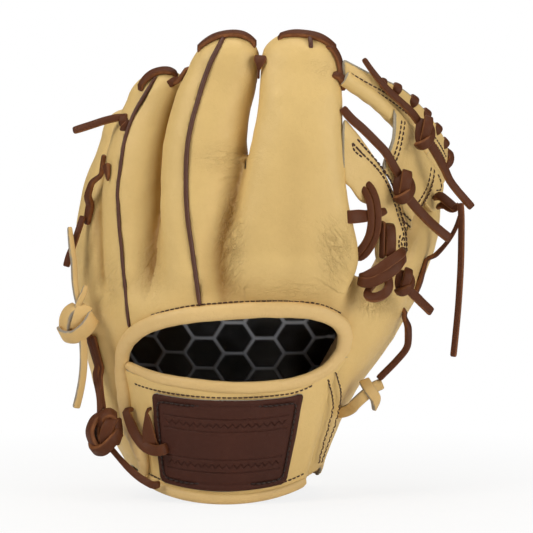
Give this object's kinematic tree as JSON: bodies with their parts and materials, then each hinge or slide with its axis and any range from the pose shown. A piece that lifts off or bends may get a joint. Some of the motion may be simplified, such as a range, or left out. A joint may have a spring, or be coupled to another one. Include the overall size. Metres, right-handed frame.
{
  "type": "baseball glove",
  "caption": "Fielder's glove for the left hand with an I web, laced leather stalls, a padded wrist opening and a thumb side that folds over the pocket",
  "frame": {"origin": "The middle of the wrist opening's mouth, on the back-of-hand side, at the height of the heel", "axes": "+Z runs from the heel to the fingertips, +X from the little finger to the thumb, and +Y from the back of the hand to the pocket"},
  "size_m": [0.2512, 0.1184, 0.291],
  "materials": {
    "blonde_leather": "blonde full-grain cowhide with a soft sheen",
    "rolled_binding": "rolled blonde leather with a stitch line at its edge",
    "brown_lace": "brown rawhide lace, slightly waxed",
    "tan_lace": "tan rawhide lace with a rough grey back",
    "brown_welt": "brown leather piping",
    "patch_leather": "brown matt leather patch, bare, with a stitched border",
    "black_liner": "black padded liner with a raised hexagon pattern",
    "lining_leather": "soft undyed lining leather",
    "felt": "pressed grey wool felt"
  },
  "bodies": {
    "fingers": {"index_back": "blonde_leather", "middle_back": "blonde_leather", "ring_back": "blonde_leather", "pinky_back": "blonde_leather", "index_palm_side": "blonde_leather", "middle_palm_side": "blonde_leather", "ring_palm_side": "blonde_leather", "pinky_palm_side": "blonde_leather", "palm_shell": "blonde_leather", "palm_lining": "black_liner", "index_lining": "lining_leather", "middle_lining": "lining_leather", "ring_lining": "lining_leather", "pinky_lining": "lining_leather", "pinky_heel_pad": "felt", "pinky_stiffener": "felt", "pinky_loop": "lining_leather", "middle_welt": "brown_welt", "ring_welt": "brown_welt", "opening_binding": "rolled_binding", "strap_binding": "rolled_binding", "wrist_strap": "blonde_leather", "wrist_liner": "black_liner", "label_patch": "patch_leather", "web_top_bar": "blonde_leather", "web_roll": "blonde_leather", "web_post": "blonde_leather", "web_base": "blonde_leather", "web_side_tab": "blonde_leather", "web_whip_lace": "brown_lace", "tip_lace": "brown_lace", "tip_lace_tail": "brown_lace", "upper_web_lace": "brown_lace", "lower_web_lace": "brown_lace", "crotch_lace": "brown_lace", "crotch_loop": "brown_lace", "thumb_lace": "brown_lace", "thumb_lace_tail": "brown_lace", "web_lace_tail": "brown_lace", "heel_lace": "brown_lace", "heel_side_lace": "brown_lace", "pinky_side_lace": "brown_lace", "pinky_side_tail": "brown_lace", "left_adjusting_lace": "tan_lace", "left_adjusting_tail": "tan_lace"},
    "thumb": {"thumb_back": "blonde_leather", "thumb_palm_side": "blonde_leather", "thumb_lining": "lining_leather", "thumb_heel_pad": "felt", "thumb_stiffener": "felt", "thumb_loop": "lining_leather", "right_adjusting_lace": "tan_lace"}
  },
  "joints": [
    {"name": "pocket_fold", "type": "hinge", "parent": "fingers", "child": "thumb", "pos_m": [0.022, 0.06, 0.02], "axis": [0.3442, -0.413, 0.8432], "range_deg": [-10, 30], "deforming": ["web_top_bar", "web_roll", "web_post", "web_base", "web_side_tab", "web_whip_lace", "upper_web_lace", "lower_web_lace", "crotch_lace", "crotch_loop", "thumb_lace", "thumb_lace_tail", "web_lace_tail"]}
  ]
}
